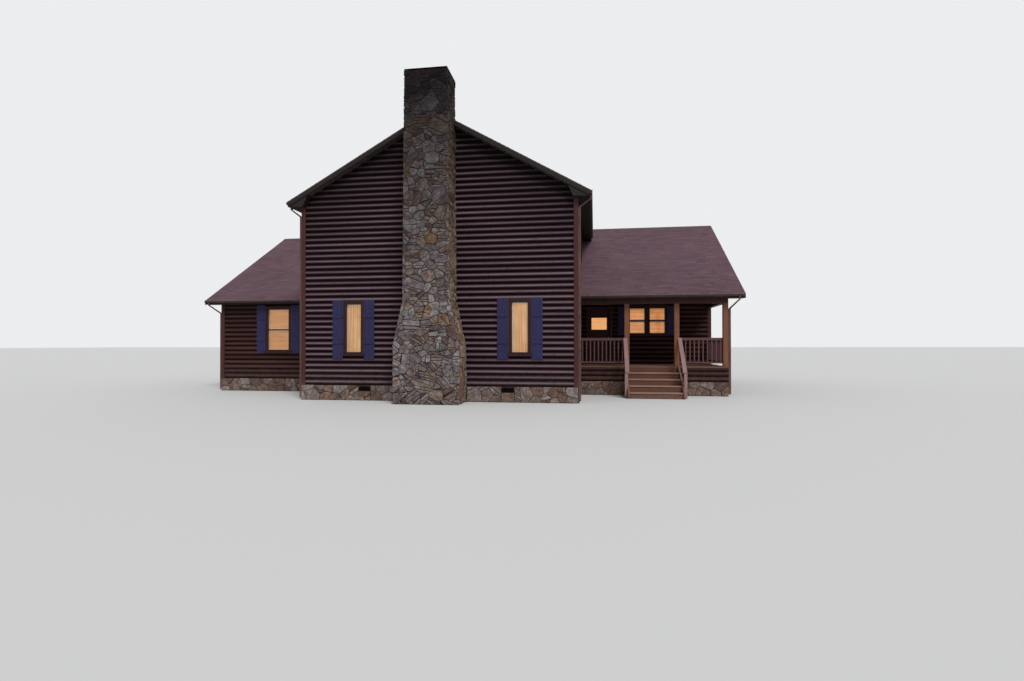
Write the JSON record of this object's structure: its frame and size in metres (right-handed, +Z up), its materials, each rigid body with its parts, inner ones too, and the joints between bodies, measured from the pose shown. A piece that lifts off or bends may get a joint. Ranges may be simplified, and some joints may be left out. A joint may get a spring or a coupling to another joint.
{
  "type": "log cabin house",
  "caption": "Log cabin with a tall front gable, an outside stone chimney, low side wings, a recessed railed porch with steps, shutters and an inward-opening front door.",
  "frame": {"origin": "on the ground under the middle of the house's overall box", "axes": "+X along the front to the porch end, +Y from the front gable to the rear, +Z up"},
  "size_m": [18.1, 13.545, 9.09],
  "materials": {
    "logs": "satin",
    "trim": "satin",
    "porch_wood": "matte",
    "inner_boards": "matte",
    "shutter_paint": "satin",
    "stone": "matte",
    "vent_metal": "matte",
    "gutter_metal": "satin",
    "spout_metal": "satin",
    "shingles": "matte",
    "glass": "gloss",
    "blind_fabric": "matte",
    "knob_brass": "satin"
  },
  "bodies": {
    "cabin": {"chimney": "stone", "chimney_cap": "vent_metal", "corner_boards": "trim", "door_frame": "trim", "downspouts": "spout_metal", "floors": "inner_boards", "foundation_cross_walls": "stone", "foundation_side_walls": "stone", "foundation_vents": "vent_metal", "gutters": "gutter_metal", "hinge_pins": "vent_metal", "left_wing_end_wall": "logs", "left_wing_front_wall": "logs", "main_eaves": "trim", "main_front_wall": "logs", "main_rear_wall": "logs", "main_roof_left": "shingles", "main_roof_right": "shingles", "main_side_walls": "logs", "main_upper_walls": "logs", "porch_beams": "trim", "porch_ceiling": "inner_boards", "porch_deck": "porch_wood", "porch_posts": "porch_wood", "porch_rails": "porch_wood", "porch_skirt": "logs", "porch_wall": "logs", "porch_wall_header": "logs", "rake_boards": "trim", "right_gable_wall": "logs", "right_wing_end_wall": "logs", "shutters": "shutter_paint", "step_handrails": "porch_wood", "step_risers": "porch_wood", "step_stringers": "porch_wood", "step_treads": "porch_wood", "window_blinds": "blind_fabric", "window_frames": "trim", "window_glass": "glass", "wing_eaves": "trim", "wing_rear_walls": "logs", "wing_roof_front": "shingles", "wing_roof_rear": "shingles"},
    "front_door": {"front_door": "trim", "door_glass": "glass", "door_knobs": "knob_brass", "hinge_leaves": "vent_metal"}
  },
  "joints": [
    {"name": "front_door_hinge", "type": "hinge", "parent": "cabin", "child": "front_door", "pos_m": [4.2565, -0.3845, 1.94], "axis": [0, 0, 1], "range_deg": [0, 100]}
  ]
}
